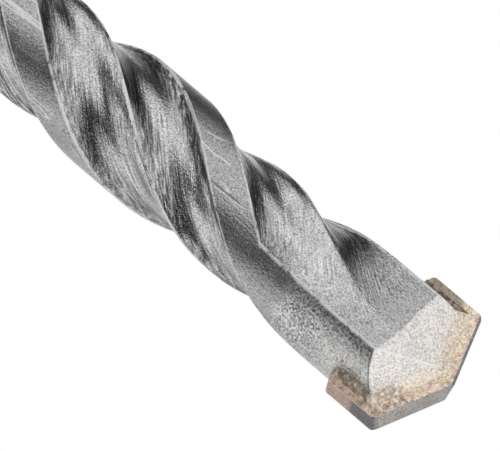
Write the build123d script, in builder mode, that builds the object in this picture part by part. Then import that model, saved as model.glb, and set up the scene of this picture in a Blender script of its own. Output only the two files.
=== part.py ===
# Hammer drill bit: a bar with a round slotted shank, twin twisted flutes and a brazed carbide plate.
# Millimetres. The bit stands on the flat end of its shank, +Z up the axis, the point on top.
# +X runs along the width of the carbide plate.

import math
import os

from build123d import *

# Overall sizes
overall_length = 160.0
shank_diameter = 10.0
body_diameter = 10.0
tip_diameter = 12.1

# Shank: two open drive slots and two closed ball recesses, a quarter turn apart
shank_length = 54.0
shank_end_chamfer = 0.8
drive_slot_width = 4.0
drive_slot_depth = 2.0
drive_slot_length = 30.0
drive_slot_runout_radius = 12.0
ball_recess_width = 5.0
ball_recess_depth = 1.9
ball_recess_start = 9.5
ball_recess_length = 21.5

# Neck: a shallow turned relief, then a plain collar before the flutes
neck_depth = 0.35
neck_width = 2.4
collar_length = 5.25

# Flutes: each of the two is ground twice, which leaves a low ridge along its middle
flute_pitch = 41.5
flute_runout = 12.0
flute_runout_lift = 2.6
land_angle = 38.0
ridge_angle = 76.2
ridge_drop = 0.40
ridge_margin = 0.33
station_step = 2.0

# The two ground hollows of a flute, each as four (share of its chord, depth below the chord)
# that pull its curve, and the straight line that both become at the head
second_hollow = ((0.36, 1.49), (0.41, -1.20), (0.72, 1.38), (0.77, -0.07))
first_hollow = ((0.27, -0.32), (0.39, 1.08), (0.49, -0.98), (0.65, 1.01))
head_hollow = ((0.2, 0.0), (0.4, 0.0), (0.6, 0.0), (0.8, 0.0))
hollow_overrun = 0.35

# Head: the twist stops and each flute opens out to a flat
head_length = 16.95
head_land_edge = 124.3
head_ridge_margin = 0.13
head_ridge_rise = 0.06
# Each row: share of the head, angles of land edge, ridge and back edge, drop of ridge, flatness
head_stations = (
    (0.12, 125.4, 61.5, -4.0, 0.60, 0.18),
    (0.25, 127.2, 70.0, 10.5, 1.15, 0.45),
    (0.38, 128.4, 81.0, 19.5, 1.75, 0.75),
    (0.52, 128.8, 92.5, 24.0, 1.82, 0.95),
    (0.70, 128.9, 101.5, 25.5, 1.68, 1.00),
    (0.88, 128.9, 104.0, 25.5, 1.66, 1.00),
    (1.09, 128.9, 106.0, 25.5, 1.64, 1.00),
)

# Steel end: two facets to a side, each as depth at the axis, slope in X and slope in Y
back_facet = (0.95, -0.35, 0.83)
rake_facet = (-0.50, 0.42, 1.80)

# Carbide plate
plate_thickness = 1.8
plate_height = 6.95
point_angle = 139.2
relief_angle = 12.0
edge_land = 0.22
plate_foot_radius = 0.45
plate_nose_radius = 0.60

# Braze
braze_gap = 0.10
bead_rise = 0.50
bead_spread = 0.40
bead_root = 0.60
braze_inset = 0.05

# Derived sizes
shank_radius = shank_diameter / 2
body_radius = body_diameter / 2
neck_radius = min(shank_radius, body_radius) - neck_depth
neck_top = shank_length + neck_width
flute_start = neck_top + neck_depth + collar_length
head_start = overall_length - head_length
turn_per_mm = 360.0 / flute_pitch
plate_half = plate_thickness / 2
slot_half = plate_half + braze_gap
slot_floor = overall_length - plate_height - braze_gap

# Cutting shapes reach past the metal that they take off
overcut = 1.0
cutter_reach = 3 * tip_diameter
flute_cut_radius = 1.75 * body_radius


def at(radius, degrees):
    """Point of a cross-section given by radius and angle."""
    turn = math.radians(degrees)
    return Vector(radius * math.cos(turn), radius * math.sin(turn))


def mix(first, second, share):
    """Value part of the way from the first to the second."""
    return first + (second - first) * share


def hollow(start, end, shape, flatness):
    """Control points between the ends, each set below the chord toward the axis."""
    chord = end - start
    inward = Vector(-chord.Y, chord.X).normalized()
    if inward.dot(start) > 0:
        inward = -inward
    points = []
    for (along, depth), (head_along, head_depth) in zip(shape, head_hollow):
        foot = start + chord * mix(along, head_along, flatness)
        points.append(foot + inward * mix(depth, head_depth, flatness))
    return points


def flute_section(height, land_edge, ridge, back_edge, drop, flatness, lift=0.0):
    """Sketch of the stock ground out of one flute at one height."""
    margin = mix(ridge_margin, head_ridge_margin, flatness)
    crest_radius = body_radius - drop + lift
    foot_radius = crest_radius + flatness * head_ridge_rise
    back = at(body_radius + lift, back_edge)
    crest = at(crest_radius, ridge)
    crest_foot = at(foot_radius, ridge + math.degrees(margin / crest_radius))
    front = at(body_radius + lift, land_edge)
    second = hollow(back, crest, second_hollow, flatness)
    first = hollow(crest_foot, front, first_hollow, flatness)
    back_out = back + (back - second[0]).normalized() * hollow_overrun
    front_out = front + (front - first[-1]).normalized() * hollow_overrun
    outside = [at(flute_cut_radius, mix(land_edge, back_edge, k / 3)) for k in range(4)]
    with BuildSketch(Plane.XY.offset(height)) as section:
        with BuildLine():
            Bezier(back_out, *second, crest)
            Line(crest, crest_foot)
            Bezier(crest_foot, *first, front_out)
            Polyline(front_out, *outside, back_out)
        make_face()
    return section.sketch


def facet_plane(facet, side):
    """Plane of a ground facet: side is 1 in the +Y half, and -1 half a turn round."""
    depth, slope_x, slope_y = facet
    return Plane(
        origin=(0, 0, overall_length - depth),
        x_dir=(1, 0, -side * slope_x),
        z_dir=(side * slope_x, side * slope_y, 1),
    )


def grind(facets):
    """Take off everything above each facet, on both sides."""
    for facet in facets:
        for side in (1, -1):
            with BuildSketch(facet_plane(facet, side)) as face_cut:
                Rectangle(2 * cutter_reach, 2 * cutter_reach)
            extrude(face_cut.sketch, amount=cutter_reach, mode=Mode.SUBTRACT)


def bead_facet(facet):
    """The same facet raised and tipped toward the plate, to bound the bead of braze on it."""
    depth, slope_x, slope_y = facet
    steeper = bead_rise / bead_spread
    return (depth - bead_rise - steeper * plate_half, slope_x, slope_y + steeper)


# Stock ground out of one flute, from its run-out by the collar to above the point
first_height = flute_start - overcut
station_count = max(8, round((head_start - first_height) / station_step))
sections = []
for k in range(station_count + 1):
    height = mix(first_height, head_start, k / station_count)
    land_edge = head_land_edge - (head_start - height) * turn_per_mm
    ridge = land_edge - ridge_angle
    back_edge = land_edge + land_angle - 180
    runout = max(0.0, 1 - (height - flute_start) / flute_runout)
    lift = flute_runout_lift * runout ** 2
    sections.append(flute_section(height, land_edge, ridge, back_edge, ridge_drop, 0.0, lift))
for share, land_edge, ridge, back_edge, drop, flatness in head_stations:
    height = head_start + share * head_length
    sections.append(flute_section(height, land_edge, ridge, back_edge, drop, flatness))
with BuildPart() as flute:
    loft(sections)

# Drill body: shank, neck, fluted body and head, one steel bar
with BuildPart() as body:
    with BuildSketch(Plane.XZ):
        with BuildLine():
            Polyline(
                (0, 0),
                (shank_radius - shank_end_chamfer, 0),
                (shank_radius, shank_end_chamfer),
                (shank_radius, shank_length - (shank_radius - neck_radius)),
                (neck_radius, shank_length),
                (neck_radius, neck_top),
                (body_radius, neck_top + (body_radius - neck_radius)),
                (body_radius, overall_length),
                (0, overall_length),
                close=True,
            )
        make_face()
    revolve(axis=Axis.Z)
    with PolarLocations(0, 2):
        add(flute.part, mode=Mode.SUBTRACT)

    # Facets ground on the steel either side of the plate, then the cross slot for it
    grind((back_facet, rake_facet))
    with BuildSketch(Plane.XY.offset(slot_floor)):
        Rectangle(2 * tip_diameter, 2 * slot_half)
    extrude(amount=cutter_reach, mode=Mode.SUBTRACT)

    # Drive slots, milled in from the shank end and running out on the cutter's radius
    slot_bottom = shank_radius - drive_slot_depth
    cutter_rise = drive_slot_depth + overcut
    cutter_run = math.sqrt(cutter_rise * (2 * drive_slot_runout_radius - cutter_rise))
    slot_end = (slot_bottom, drive_slot_length)
    runout_end = (slot_bottom + cutter_rise, drive_slot_length + cutter_run)
    with BuildSketch(Plane.XZ):
        with BuildLine():
            RadiusArc(slot_end, runout_end, drive_slot_runout_radius)
            Polyline(
                runout_end,
                (slot_bottom + cutter_rise, -overcut),
                (slot_bottom, -overcut),
                slot_end,
            )
        make_face()
        mirror(about=Plane.YZ)
    extrude(amount=drive_slot_width / 2, both=True, mode=Mode.SUBTRACT)

    # Ball recesses, round in the floor and at both ends
    ball_radius = ball_recess_width / 2
    ball_centre = shank_radius - ball_recess_depth + ball_radius
    low = ball_recess_start + ball_radius
    high = ball_recess_start + ball_recess_length - ball_radius
    with Locations((0, ball_centre, low), (0, -ball_centre, low)):
        Cylinder(
            ball_radius,
            high - low,
            align=(Align.CENTER, Align.CENTER, Align.MIN),
            mode=Mode.SUBTRACT,
        )
        Sphere(ball_radius, mode=Mode.SUBTRACT)
    with Locations((0, ball_centre, high), (0, -ball_centre, high)):
        Sphere(ball_radius, mode=Mode.SUBTRACT)

# Carbide plate: rounded foot, two relief faces meeting in a short chisel edge, and a
# narrow land ground along each cutting edge
with BuildPart() as plate:
    with BuildSketch(Plane.XZ):
        with Locations((0, overall_length)):
            Rectangle(tip_diameter, plate_height, align=(Align.CENTER, Align.MAX))
        fillet(vertices().group_by(Axis.Y)[0], plate_foot_radius)
    extrude(amount=plate_half, both=True)
    slope = math.tan(math.radians(90 - point_angle / 2))
    relief = math.tan(math.radians(relief_angle))
    land_depth = -(plate_half - edge_land) * (1 + relief)
    grind(((0, slope, -relief), (land_depth, slope, 1.0)))
    outer_corners = edges().filter_by(
        lambda e: abs(abs(e.center().X) - tip_diameter / 2) < 0.01
        and e.center().Z > overall_length - plate_height / 2
        and abs(e.center().Y) < plate_thickness / 4
    )
    fillet(outer_corners, plate_nose_radius)

# Braze: a film under and beside the plate, with a bead squeezed out along every slot edge
bead_half = plate_half + bead_spread
with BuildPart() as braze:
    with BuildSketch(Plane.XY.offset(slot_floor)):
        Circle(body_radius - braze_inset)
        Rectangle(2 * body_radius, 2 * bead_half, mode=Mode.INTERSECT)
        for side in (1, -1):
            with BuildLine():
                Polyline(
                    (side * (body_radius - bead_root), bead_half),
                    (side * (body_radius - bead_root / 3), bead_half),
                    (side * (body_radius + bead_rise), plate_half),
                    (side * (body_radius + bead_rise), -plate_half),
                    (side * (body_radius - bead_root / 3), -bead_half),
                    (side * (body_radius - bead_root), -bead_half),
                    close=True,
                )
            make_face()
    extrude(amount=plate_height)
    grind((bead_facet(back_facet), bead_facet(rake_facet)))
    with BuildSketch(Plane.XY.offset(slot_floor + braze_gap)):
        Rectangle(2 * tip_diameter, plate_thickness)
    extrude(amount=cutter_reach, mode=Mode.SUBTRACT)
    add(body.part, mode=Mode.SUBTRACT)

os.makedirs("parts", exist_ok=True)
body.part.label = "drill_body"
export_step(body.part, "parts/drill_body.step")
plate.part.label = "carbide_tip"
export_step(plate.part, "parts/carbide_tip.step")
braze.part.label = "braze_joint"
export_step(braze.part, "parts/braze_joint.step")
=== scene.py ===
# Hammer drill bit, dressed for the picture: blasted and ground steel, a carbide plate, brazed joint.
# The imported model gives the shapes. Everything here is in metres, in the model's own frame.

import math

import bpy
from mathutils import Matrix, Vector

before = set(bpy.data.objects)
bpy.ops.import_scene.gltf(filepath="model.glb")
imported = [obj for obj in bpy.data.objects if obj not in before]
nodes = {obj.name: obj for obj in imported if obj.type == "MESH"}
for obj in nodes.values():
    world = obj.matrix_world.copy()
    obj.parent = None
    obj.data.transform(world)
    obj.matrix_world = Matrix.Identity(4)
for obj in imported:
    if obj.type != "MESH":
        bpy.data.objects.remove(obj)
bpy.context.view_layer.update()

# Camera
# It looks at the upper end of the standing bit from a little above, rolled so that the bit
# runs from the top left of the picture to the bottom right, as it does in the photograph.
aim_height = 0.140482
aim_shift = 0.000111
camera_distance = 0.49146
camera_azimuth = math.radians(26.316)
camera_elevation = math.radians(12.937)
axis_slope = math.radians(40.279)
focal_length = 480.0
sensor_width = 36.0

toward_camera = Vector((
    -math.sin(camera_azimuth) * math.cos(camera_elevation),
    math.cos(camera_azimuth) * math.cos(camera_elevation),
    math.sin(camera_elevation),
))
along_bit = (Vector((0, 0, 1)) - toward_camera * toward_camera.z).normalized()
across_bit = toward_camera.cross(along_bit)
picture_right = along_bit * math.cos(axis_slope) + across_bit * math.sin(axis_slope)
picture_up = across_bit * math.cos(axis_slope) - along_bit * math.sin(axis_slope)
camera_data = bpy.data.cameras.new("camera")
camera_data.lens = focal_length
camera_data.sensor_width = sensor_width
camera_data.clip_start = 0.01
camera_data.clip_end = 50.0
camera = bpy.data.objects.new("camera", camera_data)
turn = Matrix((picture_right, picture_up, toward_camera)).transposed().to_4x4()
turn.translation = (
    Vector((0, 0, aim_height)) + toward_camera * camera_distance - across_bit * aim_shift
)
camera.matrix_world = turn
bpy.context.scene.collection.objects.link(camera)
bpy.context.scene.camera = camera
bpy.context.scene.view_settings.view_transform = "Standard"


# Floor
# A wide pale floor under the standing bit. It fades to plain white away from the bit, and the
# steel doesn't mirror it, so that the flutes show the soft boxes and the gaps between them.
def add_node(tree, kind, label, **settings):
    """A node of the given kind, with its settings and the values of its sockets."""
    made = tree.nodes.new(kind)
    made.label = label
    for name, value in settings.items():
        if hasattr(made, name):
            setattr(made, name, value)
        else:
            made.inputs[name.replace("_", " ")].default_value = value
    return made


def join(tree, value, socket):
    """Feed a socket with another socket or with a plain number."""
    if isinstance(value, (int, float)):
        socket.default_value = value
    else:
        tree.links.new(value, socket)


def calculate(tree, operation, *values, clamp=False):
    """A math node fed with sockets or plain numbers. Returns its output socket."""
    made = tree.nodes.new("ShaderNodeMath")
    made.operation = operation
    made.use_clamp = clamp
    for place, value in enumerate(values):
        join(tree, value, made.inputs[place])
    return made.outputs[0]


def ramp(tree, value, zero_at, one_at):
    """0 at one value, 1 at another and smooth between them. Either may be the larger one."""
    made = tree.nodes.new("ShaderNodeMapRange")
    made.interpolation_type = "SMOOTHSTEP"
    join(tree, value, made.inputs["Value"])
    made.inputs["From Min"].default_value = min(zero_at, one_at)
    made.inputs["From Max"].default_value = max(zero_at, one_at)
    if zero_at > one_at:
        made.inputs["To Min"].default_value = 1.0
        made.inputs["To Max"].default_value = 0.0
    return made.outputs["Result"]


floor_reach = 6.0
floor_grey = (0.80, 0.80, 0.80, 1)
floor_fade = (0.08, 0.42)
floor_mesh = bpy.data.meshes.new("floor")
floor_mesh.from_pydata(
    [(-1, -1, 0), (1, -1, 0), (1, 1, 0), (-1, 1, 0)], [], [(0, 1, 2, 3)]
)
floor_mesh.transform(Matrix.Scale(floor_reach, 4))
floor = bpy.data.objects.new("floor", floor_mesh)
floor.visible_glossy = False
floor.visible_shadow = False
bpy.context.scene.collection.objects.link(floor)
floor_material = bpy.data.materials.new("pale_floor")
floor_material.use_nodes = True
tree = floor_material.node_tree
tree.nodes.clear()
pale = add_node(tree, "ShaderNodeBsdfDiffuse", "pale floor", Color=floor_grey)
white = add_node(tree, "ShaderNodeEmission", "white", Color=(1, 1, 1, 1), Strength=1.0)
place = add_node(tree, "ShaderNodeTexCoord", "place")
reach = add_node(tree, "ShaderNodeVectorMath", "distance from the bit", operation="LENGTH")
tree.links.new(place.outputs["Object"], reach.inputs[0])
far = ramp(tree, reach.outputs["Value"], *floor_fade)
rays = add_node(tree, "ShaderNodeLightPath", "kind of ray")
share = calculate(tree, "MULTIPLY", far, rays.outputs["Is Camera Ray"])
floor_mix = add_node(tree, "ShaderNodeMixShader", "near and far floor")
floor_output = add_node(tree, "ShaderNodeOutputMaterial", "output")
tree.links.new(share, floor_mix.inputs["Fac"])
tree.links.new(pale.outputs[0], floor_mix.inputs[1])
tree.links.new(white.outputs[0], floor_mix.inputs[2])
tree.links.new(floor_mix.outputs[0], floor_output.inputs["Surface"])
floor_mesh.materials.append(floor_material)

# Studio
# White soft boxes stand all round and overhead. Two dark gaps between them, one to each side,
# and a fainter one behind leave the dark bands that follow the twist of the flutes.
world = bpy.data.worlds.new("studio")
bpy.context.scene.world = world
world.use_nodes = True
tree = world.node_tree
tree.nodes.clear()
around = add_node(tree, "ShaderNodeTexCoord", "direction")
split = add_node(tree, "ShaderNodeSeparateXYZ", "direction parts")
tree.links.new(around.outputs["Generated"], split.inputs[0])
bearing = calculate(tree, "ARCTAN2", split.outputs["Y"], split.outputs["X"])


def linear(tree, value, times, plus):
    """The value times one thing, plus another. Each is a socket or a number."""
    return calculate(tree, "MULTIPLY_ADD", value, times, plus)


def combine(tree, operation, first, *others):
    """The values taken together one after the other by a math operation. Returns the last socket."""
    total = first
    for value in others:
        total = calculate(tree, operation, total, value)
    return total


def gap(direction, half_width, softness, depth):
    """Light left at a gap: 1 outside it, and 1 - depth within. Angles in degrees."""
    turned = calculate(tree, "SUBTRACT", bearing, math.radians(direction))
    wrapped = calculate(tree, "WRAP", turned, math.pi, -math.pi)
    off = calculate(tree, "ABSOLUTE", wrapped)
    inner = math.radians(half_width - softness)
    outer = math.radians(half_width + softness)
    inside = ramp(tree, off, zero_at=outer, one_at=inner)
    return linear(tree, inside, times=-depth, plus=1.0)


overhead_level = 1.2
overhead_edge = (0.55, 0.85)
gaps = combine(
    tree, "MULTIPLY",
    gap(direction=-3.0, half_width=30.0, softness=16.0, depth=0.95),
    gap(direction=147.0, half_width=26.0, softness=14.0, depth=0.95),
    gap(direction=246.0, half_width=16.0, softness=14.0, depth=0.35),
)
overhead = ramp(tree, split.outputs["Z"], *overhead_edge)
overhead = calculate(tree, "MULTIPLY", overhead, overhead_level)
boxes = calculate(tree, "MAXIMUM", gaps, overhead)
soft = add_node(tree, "ShaderNodeBackground", "soft boxes", Color=(1, 1, 1, 1))
tree.links.new(boxes, soft.inputs["Strength"])
backdrop = add_node(
    tree, "ShaderNodeBackground", "white backdrop", Color=(1, 1, 1, 1), Strength=1.0
)
rays = add_node(tree, "ShaderNodeLightPath", "kind of ray")
world_mix = add_node(tree, "ShaderNodeMixShader", "lit and seen")
world_output = add_node(tree, "ShaderNodeOutputWorld", "output")
tree.links.new(rays.outputs["Is Camera Ray"], world_mix.inputs["Fac"])
tree.links.new(soft.outputs[0], world_mix.inputs[1])
tree.links.new(backdrop.outputs[0], world_mix.inputs[2])
tree.links.new(world_mix.outputs[0], world_output.inputs["Surface"])


# Drill body
# One bar of tool steel, blasted all over, with two flutes ground along it and facets ground
# on its end. It carries the carbide plate in a cross slot.
def opposite(tree, share):
    """1 where the share is 0, and 0 where it is 1. Returns its output socket."""
    return calculate(tree, "SUBTRACT", 1.0, share)


def around_zero(tree, value):
    """A noise from 0 to 1 moved to lie around 0. Returns its output socket."""
    return calculate(tree, "SUBTRACT", value, 0.5)


def mix_colors(tree, share, first, second, blend="MIX"):
    """Two colours, each a socket or a plain colour, mixed by a share. Returns the colour socket."""
    made = tree.nodes.new("ShaderNodeMix")
    made.data_type = "RGBA"
    made.blend_type = blend
    join(tree, share, made.inputs["Factor"])
    for value, socket in zip((first, second), (made.inputs[6], made.inputs[7])):
        if isinstance(value, tuple):
            socket.default_value = (*value, 1)
        else:
            tree.links.new(value, socket)
    return made.outputs[2]


def lay(tree, under, over, *masks, most=1.0):
    """A colour laid over another where all the masks are light, at most by the share most."""
    share = combine(tree, "MULTIPLY", *masks)
    if most < 1.0:
        share = calculate(tree, "MULTIPLY", share, most)
    return mix_colors(tree, share, under, over)


def shade(tree, color, tone):
    """A colour made lighter and darker by a tone that changes over the surface."""
    grey = tree.nodes.new("ShaderNodeCombineColor")
    for channel in ("Red", "Green", "Blue"):
        tree.links.new(tone, grey.inputs[channel])
    return mix_colors(tree, 1.0, color, grey.outputs[0], blend="MULTIPLY")


def split_axes(tree, vector, label):
    """The outputs X, Y and Z of a vector socket."""
    made = add_node(tree, "ShaderNodeSeparateXYZ", label)
    tree.links.new(vector, made.inputs[0])
    return made.outputs


def vector_math(tree, operation, label, *vectors):
    """A vector math node fed with sockets or plain vectors. Returns the node."""
    made = add_node(tree, "ShaderNodeVectorMath", label, operation=operation)
    for place, vector in enumerate(vectors):
        if isinstance(vector, tuple):
            made.inputs[place].default_value = vector
        else:
            tree.links.new(vector, made.inputs[place])
    return made


def noise(tree, place, grain, detail=2.0, roughness=0.5):
    """Noise from 0 to 1 with features of about the given size. Returns its value socket."""
    made = tree.nodes.new("ShaderNodeTexNoise")
    tree.links.new(place, made.inputs["Vector"])
    made.inputs["Scale"].default_value = 1.0 / grain
    made.inputs["Detail"].default_value = detail
    made.inputs["Roughness"].default_value = roughness
    return made.outputs["Fac"]


def bump(tree, label, height, distance, normal=None):
    """A bump node over a height, and over another normal if one is given. Returns the node."""
    made = add_node(tree, "ShaderNodeBump", label, Distance=distance)
    tree.links.new(height, made.inputs["Height"])
    if normal is not None:
        tree.links.new(normal, made.inputs["Normal"])
    return made


def make_group(name, vectors, numbers, outputs):
    """A node group with vector and number inputs and number outputs. Returns its parts."""
    tree = bpy.data.node_groups.new(name, "ShaderNodeTree")
    for label in vectors:
        tree.interface.new_socket(label, in_out="INPUT", socket_type="NodeSocketVector")
    for label in numbers:
        tree.interface.new_socket(label, in_out="INPUT", socket_type="NodeSocketFloat")
    for label in outputs:
        tree.interface.new_socket(label, in_out="OUTPUT", socket_type="NodeSocketFloat")
    return tree, tree.nodes.new("NodeGroupInput").outputs, tree.nodes.new("NodeGroupOutput").inputs


def use_group(tree, group, place, **values):
    """The outputs of a shared group, fed with the place on the part and its other values."""
    made = tree.nodes.new("ShaderNodeGroup")
    made.node_tree = group
    tree.links.new(place, made.inputs["Place"])
    for name, value in values.items():
        made.inputs[name.replace("_", " ")].default_value = value
    return made.outputs


def scaled_place(tree, place, size, label):
    """The place divided by a size that comes through a socket. Returns its vector socket."""
    same = tree.nodes.new("ShaderNodeCombineXYZ")
    for axis in "XYZ":
        tree.links.new(size, same.inputs[axis])
    return vector_math(tree, "DIVIDE", label, place, same.outputs[0]).outputs[0]


def new_look(name, node):
    """A new material for a CAD node. Returns its tree, its shader, the place of each point and
    the way that the surface faces there."""
    look = bpy.data.materials.new(name)
    look.use_nodes = True
    node.data.materials.clear()
    node.data.materials.append(look)
    tree = look.node_tree
    place = add_node(tree, "ShaderNodeTexCoord", "place on the part").outputs
    return tree, tree.nodes["Principled BSDF"], place["Object"], place["Normal"]


def along_wing(tree, axes):
    """How far a point lies out along the plate, less than 0 on the trailing half of each side."""
    side = calculate(tree, "SIGN", axes["Y"])
    return calculate(tree, "MULTIPLY", side, axes["X"])


# Grain of the blasting: a height for the bump and a light and dark speckle around 0
speckle_shift = (31.0, 17.0, 53.0)
speckle_contrast = 4.0
blast_grain, given, result = make_group(
    "blast_grain", ("Place",), ("Grain",), ("Height", "Speckle")
)
grains = scaled_place(blast_grain, given["Place"], given["Grain"], "grains")
pits = noise(blast_grain, grains, grain=1.0, roughness=0.6)
blast_grain.links.new(pits, result["Height"])
shifted = vector_math(blast_grain, "ADD", "shifted", grains, speckle_shift).outputs[0]
specks = noise(blast_grain, shifted, grain=0.8, detail=3.0, roughness=0.65)
specks = around_zero(blast_grain, specks)
specks = calculate(blast_grain, "MULTIPLY", specks, speckle_contrast)
blast_grain.links.new(specks, result["Speckle"])

# Patches with ragged borders, where a cloud of the given size lies above a threshold
patch_border = 0.06
ragged_patches, given, result = make_group(
    "ragged_patches", ("Place",), ("Size", "Threshold"), ("Patches",)
)
clouds = scaled_place(ragged_patches, given["Place"], given["Size"], "clouds")
clouds = noise(ragged_patches, clouds, grain=1.0, detail=6.0, roughness=0.7)
above = calculate(ragged_patches, "SUBTRACT", clouds, given["Threshold"])
above = ramp(ragged_patches, above, zero_at=-patch_border, one_at=patch_border)
ragged_patches.links.new(above, result["Patches"])

# A straight mark with soft sides and round ends, from its start to its end
long_mark, given, result = make_group(
    "long_mark", ("Place", "Start", "End"), ("Half Width",), ("Mark",)
)
way = vector_math(long_mark, "SUBTRACT", "whole way", given["End"], given["Start"]).outputs[0]
gone = vector_math(long_mark, "SUBTRACT", "way so far", given["Place"], given["Start"]).outputs[0]
onward = vector_math(long_mark, "DOT_PRODUCT", "onward", gone, way).outputs["Value"]
whole = vector_math(long_mark, "DOT_PRODUCT", "whole", way, way).outputs["Value"]
reached = calculate(long_mark, "DIVIDE", onward, whole, clamp=True)
stem = vector_math(long_mark, "SCALE", "nearest point", way)
long_mark.links.new(reached, stem.inputs["Scale"])
aside = vector_math(long_mark, "DISTANCE", "aside", gone, stem.outputs[0]).outputs["Value"]
aside = calculate(long_mark, "DIVIDE", aside, given["Half Width"])
long_mark.links.new(ramp(long_mark, aside, zero_at=1.0, one_at=0.5), result["Mark"])

# Heat of the brazing: 1 up to the near distance from the plate's middle, ragged, 0 at the far one
heat_patch = 0.0009
heat_raggedness = 0.0022
heat_tint, given, result = make_group(
    "heat_tint", ("Place",), ("Near", "Far"), ("Warmth",)
)
axes = split_axes(heat_tint, given["Place"], "place along each axis")
from_plate = calculate(heat_tint, "ABSOLUTE", axes["Y"])
ragged = noise(heat_tint, given["Place"], grain=heat_patch, detail=6.0, roughness=0.75)
ragged = around_zero(heat_tint, ragged)
from_plate = linear(heat_tint, ragged, times=heat_raggedness, plus=from_plate)
left = calculate(heat_tint, "SUBTRACT", given["Far"], from_plate)
span = calculate(heat_tint, "SUBTRACT", given["Far"], given["Near"])
warmth = calculate(heat_tint, "DIVIDE", left, span, clamp=True)
heat_tint.links.new(warmth, result["Warmth"])

body = nodes["drill_body"]
tree, shader, point, _ = new_look("blasted_steel_look", body)
axes = split_axes(tree, point, "place along each axis")
height = axes["Z"]
level = vector_math(tree, "MULTIPLY", "level part", point, (1, 1, 0)).outputs[0]
radius = vector_math(tree, "LENGTH", "distance from the axis", level).outputs["Value"]

# Where a point lies round the flutes, as an angle that starts at the land's leading edge.
# In the head the land grows wider and the ridge moves on, both fast at first and then slower.
flute_start = 0.0715
head_start = 0.14305
head_length = 0.01695
twist_per_metre = math.radians(8675.0)
land_edge = math.radians(124.3)
land_width = math.radians(38.0)
ridge_place = math.radians(103.8)
head_land_gain = math.radians(38.6)
head_ridge_gain = math.radians(58.0)
head_edge_gain = math.radians(4.6)
land_haste = 1.7


def ease_out(share):
    """A share from 0 to 1 that grows fast at first and comes to rest at 1."""
    rest = opposite(tree, share)
    rest = calculate(tree, "MULTIPLY", rest, rest)
    return opposite(tree, rest)


bearing = calculate(tree, "ARCTAN2", axes["Y"], axes["X"])
above_head = calculate(tree, "SUBTRACT", height, head_start)
below_head = calculate(tree, "MINIMUM", above_head, 0.0)
turned = calculate(tree, "MULTIPLY", below_head, -twist_per_metre)
head_share = calculate(tree, "DIVIDE", above_head, head_length, clamp=True)
land_share = ease_out(calculate(tree, "MULTIPLY", head_share, land_haste, clamp=True))
ridge_share = ease_out(head_share)
edge_shift = calculate(tree, "MULTIPLY", land_share, head_edge_gain)
angle = calculate(tree, "SUBTRACT", bearing, land_edge)
angle = calculate(tree, "ADD", angle, turned)
angle = calculate(tree, "SUBTRACT", angle, edge_shift)
phase = calculate(tree, "WRAP", angle, math.pi, 0.0)
land_end = linear(tree, land_share, times=head_land_gain, plus=land_width)
ridge = linear(tree, ridge_share, times=head_ridge_gain, plus=ridge_place)
past_land = calculate(tree, "SUBTRACT", phase, land_end)
leading = calculate(tree, "PINGPONG", phase, math.pi / 2)
leading = calculate(tree, "MULTIPLY", leading, radius)
trailing = calculate(tree, "ABSOLUTE", past_land)
trailing = calculate(tree, "MULTIPLY", trailing, radius)
from_ridge = calculate(tree, "SUBTRACT", phase, ridge)
from_ridge = calculate(tree, "MULTIPLY", from_ridge, radius)

# Lands, hollows, and what begins or ends at a height along the bit
land_border = 0.004
flutes_deepen = (flute_start - 0.006, flute_start + 0.002)
off_land = ramp(tree, past_land, zero_at=-land_border, one_at=land_border)
in_flutes = ramp(tree, height, *flutes_deepen)
hollows = calculate(tree, "MULTIPLY", off_land, in_flutes)
lands = opposite(tree, hollows)
in_twist = ramp(tree, height, zero_at=0.1475, one_at=0.1435)
near_head = ramp(tree, height, zero_at=0.1460, one_at=0.1476)
short_of_end = ramp(tree, height, zero_at=0.1535, one_at=0.1515)
at_end = ramp(tree, height, zero_at=0.1525, one_at=0.1535)
head_flats = calculate(tree, "MULTIPLY", near_head, hollows)

# The four facets on the end, each pair the same on both sides of the plate. Each is a plane:
# its height on the axis, and how much it rises along the plate and away from it.
back_facet = (0.15905, 0.35, -0.83)
rake_facet = (0.1605, -0.42, -1.80)
facet_grain = 0.0003
facet_raggedness = 0.0006


def facet_height(on_axis, along, away):
    """The height of a facet's plane at each point."""
    partway = linear(tree, along_plate, times=along, plus=on_axis)
    return linear(tree, off_plate, times=away, plus=partway)


along_plate = along_wing(tree, axes)
off_plate = calculate(tree, "ABSOLUTE", axes["Y"])
back_top = facet_height(*back_facet)
rake_top = facet_height(*rake_facet)
facet_top = calculate(tree, "MINIMUM", back_top, rake_top)
below_facets = calculate(tree, "SUBTRACT", facet_top, height)
border = noise(tree, point, grain=facet_grain, detail=3.0, roughness=0.7)
border = around_zero(tree, border)
border = calculate(tree, "MULTIPLY", border, hollows)
ragged_depth = linear(tree, border, times=facet_raggedness, plus=below_facets)
end_facets = ramp(tree, ragged_depth, zero_at=0.00018, one_at=0.00008)
under_facets = ramp(tree, below_facets, zero_at=0.00035, one_at=0.00012)
facet_ridge = calculate(tree, "SUBTRACT", back_top, rake_top)
facet_ridge = calculate(tree, "ABSOLUTE", facet_ridge)
facet_ridge = ramp(tree, facet_ridge, zero_at=0.00011, one_at=0.00002)


# The wheel left the hollows a little wavy; their borders get painted shade. Each is a curve round
# the flute
def round_flute(points, low, high):
    """A curve over the angle round a flute, drawn through points of (degrees, value)."""
    share = calculate(tree, "DIVIDE", phase, math.pi)
    curve = tree.nodes.new("ShaderNodeFloatCurve")
    line = curve.mapping.curves[0]
    scaled = [(degrees / 180.0, (value - low) / (high - low)) for degrees, value in points]
    line.points[0].location = scaled[0]
    line.points[1].location = scaled[-1]
    for spot in scaled[1:-1]:
        line.points.new(*spot)
    curve.mapping.update()
    tree.links.new(share, curve.inputs["Value"])
    return linear(tree, curve.outputs[0], times=high - low, plus=low)


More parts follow.
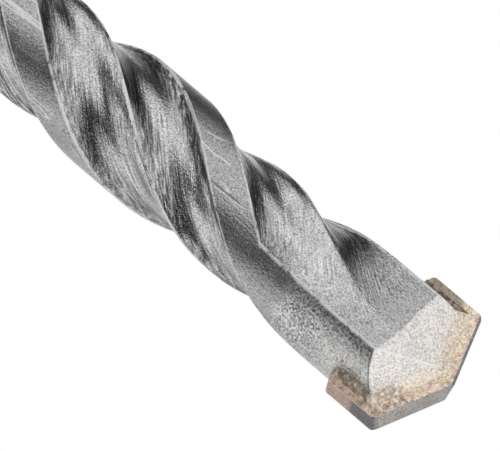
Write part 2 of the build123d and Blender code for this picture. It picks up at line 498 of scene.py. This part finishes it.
wave_lean = round_flute(
    (
        (0, 0), (38, 0), (47, -5), (55, -13), (64, -6), (76, 0), (91, -9), (101, -1),
        (109, -9), (116, 3), (125, 8), (138, -8), (150, 2), (159, 5), (168, 0), (180, 0),
    ),
    -15.0, 15.0,
)
one_degree = math.radians(1.0)
wave_lean = combine(tree, "MULTIPLY", wave_lean, one_degree, hollows, in_twist)
surface = add_node(tree, "ShaderNodeNewGeometry", "surface")
waves = add_node(tree, "ShaderNodeVectorRotate", "wavy hollows", rotation_type="Z_AXIS")
tree.links.new(surface.outputs["Normal"], waves.inputs["Vector"])
tree.links.new(wave_lean, waves.inputs["Angle"])
painted_border_shade = round_flute(
    (
        (0, 0), (37, 0), (40, 0.62), (45, 0.52), (51, 0.28), (60, 0.0), (75, 0.0),
        (83, 0.32), (90, 0.46), (99, 0.38), (104, 0.2), (106, 0.0), (150, 0.0),
        (160, 0.22), (168, 0.36), (177, 0.36), (180, 0),
    ),
    0.0, 1.0,
)

# Grain of the blasting, coarser near the head, and the fine lines of the grinding wheel
fine_grain = 0.00016
coarse_grain = 0.00024
coarse_part = 0.75
line_width = 0.00024
line_shortening = 0.05
line_twist_per_metre = math.radians(14660.0)
fine = use_group(tree, blast_grain, point, Grain=fine_grain)
coarse = use_group(tree, blast_grain, point, Grain=coarse_grain)
coarse_share = calculate(tree, "MULTIPLY", near_head, coarse_part)
grain_height = add_node(tree, "ShaderNodeMix", "fine and coarse grain")
grain_height.data_type = "FLOAT"
join(tree, coarse_share, grain_height.inputs["Factor"])
tree.links.new(fine["Height"], grain_height.inputs[2])
tree.links.new(coarse["Height"], grain_height.inputs[3])
untwist = calculate(tree, "MULTIPLY", height, -line_twist_per_metre)
lines_place = add_node(tree, "ShaderNodeVectorRotate", "untwisted", rotation_type="Z_AXIS")
tree.links.new(point, lines_place.inputs["Vector"])
tree.links.new(untwist, lines_place.inputs["Angle"])
stretched = vector_math(
    tree, "MULTIPLY", "long lines", lines_place.outputs[0], (1, 1, line_shortening)
).outputs[0]
lines = noise(tree, stretched, grain=line_width, roughness=0.6)
uneven = ramp(tree, noise(tree, point, grain=0.0022), zero_at=0.25, one_at=0.6)
lines_share = combine(tree, "MULTIPLY", hollows, short_of_end, uneven)
grain_bump = bump(
    tree, "blasted grain", grain_height.outputs[0], distance=0.00004, normal=waves.outputs[0]
)
line_bump = bump(
    tree, "grinding lines", lines, distance=0.00006, normal=grain_bump.outputs[0]
)
tree.links.new(lines_share, line_bump.inputs["Strength"])
tree.links.new(line_bump.outputs[0], shader.inputs["Normal"])

# Painted highlights, partly wear: light edges and a light strip beside the ridge, both broken
worn_highlit_steel = (0.78, 0.78, 0.77)
wear_highlight_most = 0.8
edge_wobble_depth = 0.00012
edge_wobble = noise(tree, point, grain=0.0006, detail=3.0)
edge_wobble = calculate(tree, "MULTIPLY", edge_wobble, edge_wobble_depth)
edge_reach = calculate(tree, "MINIMUM", leading, trailing)
edge_reach = calculate(tree, "SUBTRACT", edge_reach, edge_wobble)
edges = ramp(tree, edge_reach, zero_at=0.00009, one_at=0.00002)
edges = calculate(tree, "MULTIPLY", edges, in_flutes)
strip_in = ramp(tree, from_ridge, zero_at=-0.00006, one_at=0.00002)
strip_out = ramp(tree, from_ridge, zero_at=0.00032, one_at=0.00016)
strip_end = ramp(tree, height, zero_at=0.1475, one_at=0.1445)
strip = combine(tree, "MULTIPLY", strip_in, strip_out, strip_end, in_flutes)
broken = noise(tree, point, grain=0.0007, detail=3.0, roughness=0.7)
broken = ramp(tree, broken, zero_at=0.32, one_at=0.50)
wear_and_highlight = calculate(tree, "MAXIMUM", edges, strip)
wear_and_highlight = combine(tree, "MULTIPLY", wear_and_highlight, broken, wear_highlight_most)

# Tone: speckle of the grain, clouds, and light and dark grinding lines
fine_contrast = 0.75
flats_calm = 0.20
line_contrast = 2.0
cloudy = noise(tree, point, grain=0.0016, detail=4.0, roughness=0.6)
mottle = linear(tree, cloudy, times=0.50, plus=0.75)
contrast = linear(tree, head_flats, times=-flats_calm, plus=fine_contrast)
tone = linear(tree, fine["Speckle"], times=contrast, plus=1.0)
spatter_depth = linear(tree, lands, times=1.1, plus=0.55)
spatter = combine(tree, "MULTIPLY", coarse["Speckle"], coarse_share, spatter_depth)
tone = calculate(tree, "ADD", tone, spatter)
tone = calculate(tree, "MULTIPLY", tone, mottle)
line_tone = around_zero(tree, lines)
line_tone = calculate(tree, "MULTIPLY", line_tone, lines_share)
tone = linear(tree, line_tone, times=line_contrast, plus=tone)

# Painted shade: on the borders of the hollows, at the end of the hollow before the ridge where it
# runs out, and on the land of the head beside its leading edge
streak_contrast = 4.5
run_out_shade_most = 0.5
land_edge_shade_most = 0.40
land_edge_shade_wander = 0.0010
darkest_tone = 0.15
streaky = calculate(tree, "SUBTRACT", 0.5, lines)
streaky = linear(tree, streaky, times=streak_contrast, plus=1.0)
# Painted shade along the borders of the hollows, streaked like the grinding lines
borders = combine(tree, "MULTIPLY", painted_border_shade, streaky, hollows, in_twist)
# Painted shade where the hollow before the ridge runs out
run_out_start = ramp(tree, height, zero_at=0.1415, one_at=0.1440)
run_out_end = ramp(tree, height, zero_at=0.1492, one_at=0.1474)
before_ridge = ramp(tree, from_ridge, zero_at=0.0, one_at=-0.0006)
run_out_shade = combine(
    tree, "MULTIPLY", run_out_start, run_out_end, before_ridge, hollows, streaky, run_out_shade_most
)
# Painted shade on the land of the head beside its leading edge
land_edge_shade_reach = linear(tree, cloudy, times=-land_edge_shade_wander, plus=leading)
land_edge_shade = ramp(tree, land_edge_shade_reach, zero_at=0.0008, one_at=-0.0002)
land_edge_shade = combine(tree, "MULTIPLY", land_edge_shade, lands, near_head, land_edge_shade_most)
# All the painted shade together darkens the tone
all_painted_shade = combine(tree, "MAXIMUM", borders, run_out_shade, land_edge_shade)
unshaded_share = opposite(tree, all_painted_shade)
tone = calculate(tree, "MULTIPLY", tone, unshaded_share)
tone = calculate(tree, "MAXIMUM", tone, darkest_tone)

# Steel of lands, hollows and the head's two flats in painted light and shade, with tone, wear and
# highlights
land_steel = (0.41, 0.41, 0.415)
hollow_steel = (0.53, 0.53, 0.535)
shaded_flat_before_ridge = (0.50, 0.50, 0.50)
lit_flat_past_ridge = (0.58, 0.58, 0.58)
bare = mix_colors(tree, hollows, land_steel, hollow_steel)
# The two flats of the head painted as lit and shaded copies of one steel, darker before the ridge
past_ridge = ramp(tree, from_ridge, zero_at=-0.0002, one_at=0.0002)
lit_and_shaded_flats = mix_colors(tree, past_ridge, shaded_flat_before_ridge, lit_flat_past_ridge)
bare = mix_colors(tree, near_head, bare, lit_and_shaded_flats)
bare = shade(tree, bare, tone)
# Painted highlights, partly wear, on the edges and on the strip beside the ridge
bare = mix_colors(tree, wear_and_highlight, bare, worn_highlit_steel)

# Long scratches here and there on the lands, a few single marks on one of them, a light spot,
# a groove and small dark dents
scratched_steel = (0.85, 0.85, 0.85)
struck_steel = (0.90, 0.90, 0.90)
deep_dark = (0.10, 0.10, 0.10)
scratch_shortening = 0.10
light_spot_most = 0.8
long_way = vector_math(
    tree, "MULTIPLY", "along the bit", point, (1, 1, scratch_shortening)
).outputs[0]
course = noise(tree, long_way, grain=0.0011, detail=1.0)
course = around_zero(tree, course)
course = calculate(tree, "ABSOLUTE", course)
scratches = ramp(tree, course, zero_at=0.022, one_at=0.008)
here = ramp(tree, noise(tree, point, grain=0.0035, detail=1.0), zero_at=0.50, one_at=0.58)
bare = lay(tree, bare, scratched_steel, scratches, here, lands, most=0.55)
marks = [
    use_group(tree, long_mark, point, Start=start, End=end, Half_Width=half_width)["Mark"]
    for start, end, half_width in (
        ((0.00014, 0.00498, 0.13466), (-0.00006, 0.00499, 0.13622), 0.00005),
        ((0.00008, 0.00499, 0.13624), (0.00012, 0.00499, 0.13744), 0.00005),
        ((-0.00186, 0.00464, 0.13762), (-0.00172, 0.00469, 0.14059), 0.00004),
    )
]
light_spot = use_group(
    tree, long_mark, point,
    Start=(-0.00470, 0.00160, 0.1470), End=(-0.00464, 0.00174, 0.1475), Half_Width=0.00085,
)["Mark"]
grainy = ramp(tree, coarse["Height"], zero_at=0.44, one_at=0.60)
light_spot = combine(tree, "MULTIPLY", light_spot, grainy, light_spot_most)
marks = combine(tree, "MAXIMUM", *marks, light_spot)
bare = lay(tree, bare, struck_steel, marks, most=0.75)
groove = use_group(
    tree, long_mark, point,
    Start=(-0.00168, 0.00470, 0.13726), End=(-0.00164, 0.00472, 0.13993), Half_Width=0.00009,
)["Mark"]
bare = lay(tree, bare, deep_dark, groove, most=0.65)
dents = use_group(tree, ragged_patches, point, Size=0.0011, Threshold=0.68)["Patches"]
bare = lay(tree, bare, deep_dark, dents, most=0.7)

# The end of the land: pale dust, scorched beside the plate and painted shadow right under the facets
dusty_steel = (0.80, 0.78, 0.75)
scorched_steel = (0.20, 0.15, 0.10)
shadow_steel = (0.05, 0.05, 0.05)
dust_wander = 0.0010
dust_start = ramp(tree, height, zero_at=0.1495, one_at=0.1525)
dust_reach = linear(tree, cloudy, times=dust_wander, plus=leading)
dust = ramp(tree, dust_reach, zero_at=0.0012, one_at=0.0022)
bare = lay(tree, bare, dusty_steel, dust, dust_start, lands, broken, most=0.5)
scorch = use_group(tree, heat_tint, point, Near=0.0009, Far=0.0022)["Warmth"]
bare = lay(tree, bare, scorched_steel, scorch, lands, at_end, most=0.8)
# Painted shadow right under the facets
bare = lay(tree, bare, shadow_steel, under_facets, lands, most=0.75)

# The end facets: pale, rough, sooted in specks, warmer toward the brazed plate; painted highlight on
# the ridge
facet_cream = (0.97, 0.935, 0.905)
heated_cream = (0.95, 0.82, 0.70)
soot = (0.22, 0.19, 0.16)
burnt_flux = (0.30, 0.22, 0.16)
ridge_highlight_white = (1.0, 1.0, 0.99)
low_corner_place = (-0.0025, -0.0034)
heat = use_group(tree, heat_tint, point, Near=0.0008, Far=0.0020)["Warmth"]
cream = lay(tree, facet_cream, heated_cream, heat, most=0.65)
gritty = linear(tree, fine["Speckle"], times=0.50, plus=1.0)
dimmer = linear(tree, cloudy, times=0.45, plus=0.76)
cream = shade(tree, cream, calculate(tree, "MULTIPLY", gritty, dimmer))
sooted = use_group(tree, ragged_patches, point, Size=0.00022, Threshold=0.54)["Patches"]
cream = lay(tree, cream, soot, sooted, most=0.40)
burnt = use_group(tree, ragged_patches, point, Size=0.00040, Threshold=0.50)["Patches"]
low_corner = ramp(tree, along_plate, *low_corner_place)
cream = lay(tree, cream, burnt_flux, burnt, low_corner, heat, most=0.35)
# Painted highlight along the ridge where the facets meet
cream = lay(tree, cream, ridge_highlight_white, facet_ridge, broken)
steel_color = mix_colors(tree, end_facets, bare, cream)
tree.links.new(steel_color, shader.inputs["Base Color"])

# The rough facets, the land of the head and the places of wear and painted highlight shine less than
# the rest
facets_dull_most = 0.80
lands_dull_most = 0.3
wear_highlight_dull_most = 0.8
facets_dull = calculate(tree, "MULTIPLY", end_facets, facets_dull_most)
lands_dull = combine(tree, "MULTIPLY", near_head, lands, lands_dull_most)
wear_highlight_dull = calculate(tree, "MULTIPLY", wear_and_highlight, wear_highlight_dull_most)
dulled = combine(tree, "MAXIMUM", facets_dull, lands_dull, wear_highlight_dull)
metal_share = opposite(tree, dulled)
tree.links.new(metal_share, shader.inputs["Metallic"])
roughness = linear(tree, cloudy, times=0.16, plus=0.25)
roughness = linear(tree, hollows, times=-0.13, plus=roughness)
roughness = linear(tree, near_head, times=0.14, plus=roughness)
roughness = linear(tree, end_facets, times=0.25, plus=roughness)
tree.links.new(roughness, shader.inputs["Roughness"])

# Carbide plate
# A sintered carbide plate, ground to a roof shape, brazed into the slot across the end. The
# braze has run over its faces and the heat has tinted it.
plate_top = 0.160
roof_slope = math.tan(math.radians(20.4))
face_place = 0.00088
edge_glint_width = 0.00005
wing_middle = (-0.0005, 0.0015)
ground_carbide = (0.31, 0.29, 0.285)
light_carbide = (0.38, 0.36, 0.34)
trailing_gold = (0.80, 0.64, 0.50)
leading_gold = (0.95, 0.82, 0.58)
peach = (0.92, 0.76, 0.62)
edge_pink = (0.86, 0.66, 0.58)
trailing_foot = (0.52, 0.41, 0.30)
leading_foot = (0.40, 0.33, 0.26)
corner_copper = (0.55, 0.42, 0.32)
end_grey = (0.17, 0.16, 0.18)
end_copper = (0.52, 0.38, 0.33)
burnt_brown = (0.24, 0.18, 0.14)
edge_glint = (0.85, 0.80, 0.75)

tip = nodes["carbide_tip"]
tree, shader, point, outward = new_look("carbide_look", tip)
axes = split_axes(tree, point, "place along each axis")
facing = split_axes(tree, outward, "way the surface faces")
broad = ramp(tree, calculate(tree, "ABSOLUTE", facing["Y"]), zero_at=0.70, one_at=0.90)
endward = ramp(tree, calculate(tree, "ABSOLUTE", facing["X"]), zero_at=0.70, one_at=0.90)
wing = along_wing(tree, axes)
leading_wing = ramp(tree, wing, *wing_middle)
trailing_wing = opposite(tree, leading_wing)
reach = calculate(tree, "ABSOLUTE", axes["X"])
roof = linear(tree, reach, times=-roof_slope, plus=plate_top)
depth = calculate(tree, "SUBTRACT", roof, axes["Z"])
grit = use_group(tree, blast_grain, point, Grain=fine_grain)
tint = use_group(tree, ragged_patches, point, Size=0.0016, Threshold=0.50)["Patches"]
fine_tint = use_group(tree, ragged_patches, point, Size=0.0005, Threshold=0.53)["Patches"]

# Heat colours on the broad faces: gold by the roof, pink on its edge, brown and gritty below
gold = mix_colors(tree, leading_wing, trailing_gold, leading_gold)
gold = mix_colors(tree, tint, gold, peach)
by_edge = ramp(tree, depth, zero_at=0.00055, one_at=0.00015)
gold = mix_colors(tree, by_edge, gold, edge_pink)
low_down = ramp(tree, depth, zero_at=0.0009, one_at=0.0022)
foot = mix_colors(tree, leading_wing, trailing_foot, leading_foot)
gold = mix_colors(tree, low_down, gold, foot)
outer_end = ramp(tree, reach, zero_at=0.0040, one_at=0.0056)
gold = lay(tree, gold, corner_copper, outer_end, trailing_wing, most=0.7)

# Plain ground carbide on the roof, on the ends grey above copper, and a painted glint where an end
# meets a face
plain = mix_colors(tree, tint, ground_carbide, light_carbide)
stained = mix_colors(tree, broad, plain, gold)
copper = ramp(tree, axes["Z"], zero_at=0.1558, one_at=0.1552)
end_tone = mix_colors(tree, copper, end_grey, end_copper)
stained = mix_colors(tree, endward, stained, end_tone)
low_corner = ramp(tree, wing, *low_corner_place)
gritty_foot = calculate(tree, "MAXIMUM", low_down, low_corner)
gritty_foot = calculate(tree, "MULTIPLY", gritty_foot, broad)
browned = linear(tree, gritty_foot, times=0.45, plus=0.35)
stained = lay(tree, stained, burnt_brown, fine_tint, browned)
from_middle = calculate(tree, "ABSOLUTE", axes["Y"])
# Painted glint along the corner where an end meets a face
edge_glint_line = ramp(
    tree, from_middle, zero_at=face_place - edge_glint_width, one_at=face_place
)
off_face = opposite(tree, broad)
stained = lay(tree, stained, edge_glint, edge_glint_line, off_face, endward)
stained = shade(tree, stained, linear(tree, grit["Speckle"], times=0.70, plus=1.0))
tree.links.new(stained, shader.inputs["Base Color"])
metal_share = linear(tree, broad, times=-0.4, plus=0.75)
tree.links.new(metal_share, shader.inputs["Metallic"])
roughness = linear(tree, grit["Speckle"], times=0.08, plus=0.42)
tree.links.new(roughness, shader.inputs["Roughness"])
sintered = bump(tree, "sintered grain", grit["Height"], distance=0.00004)
tree.links.new(sintered.outputs[0], shader.inputs["Normal"])

# Braze
# Brass-coloured filler that joins the plate to the slot and stands as a rough bead along it.
# Flux and soot are burnt on it, most of all on its sides and at the low corner.
bead_grain = 0.00025
pale_brass = (0.96, 0.92, 0.88)
peach_brass = (0.92, 0.76, 0.60)
trailing_side = (0.76, 0.67, 0.58)
leading_side = (0.46, 0.40, 0.34)
flux_black = (0.08, 0.06, 0.04)
brass_soot = (0.22, 0.17, 0.12)
brass_burnt = (0.26, 0.19, 0.13)

braze = nodes["braze_joint"]
tree, shader, point, outward = new_look("braze_look", braze)
axes = split_axes(tree, point, "place along each axis")
facing = split_axes(tree, outward, "way the surface faces")
on_side = ramp(tree, facing["Z"], zero_at=0.35, one_at=0.15)
wing = along_wing(tree, axes)
leading_wing = ramp(tree, wing, *wing_middle)
lumps = use_group(tree, blast_grain, point, Grain=bead_grain)
heat = use_group(tree, heat_tint, point, Near=0.0008, Far=0.0016)["Warmth"]
brass = mix_colors(tree, heat, pale_brass, peach_brass)
side_tone = mix_colors(tree, leading_wing, trailing_side, leading_side)
brass = mix_colors(tree, on_side, brass, side_tone)
flux = use_group(tree, ragged_patches, point, Size=0.0005, Threshold=0.50)["Patches"]
brass = lay(tree, brass, flux_black, flux, on_side, most=0.8)
brass = shade(tree, brass, linear(tree, lumps["Speckle"], times=0.55, plus=1.0))
sooted = use_group(tree, ragged_patches, point, Size=0.00020, Threshold=0.58)["Patches"]
brass = lay(tree, brass, brass_soot, sooted, most=0.45)
burnt = use_group(tree, ragged_patches, point, Size=0.00045, Threshold=0.47)["Patches"]
low_corner = ramp(tree, wing, *low_corner_place)
brass = lay(tree, brass, brass_burnt, burnt, low_corner, most=0.6)
tree.links.new(brass, shader.inputs["Base Color"])
shader.inputs["Metallic"].default_value = 0.35
roughness = linear(tree, lumps["Speckle"], times=0.08, plus=0.48)
tree.links.new(roughness, shader.inputs["Roughness"])
lumpy = bump(tree, "lumps", lumps["Height"], distance=0.00006)
tree.links.new(lumpy.outputs[0], shader.inputs["Normal"])
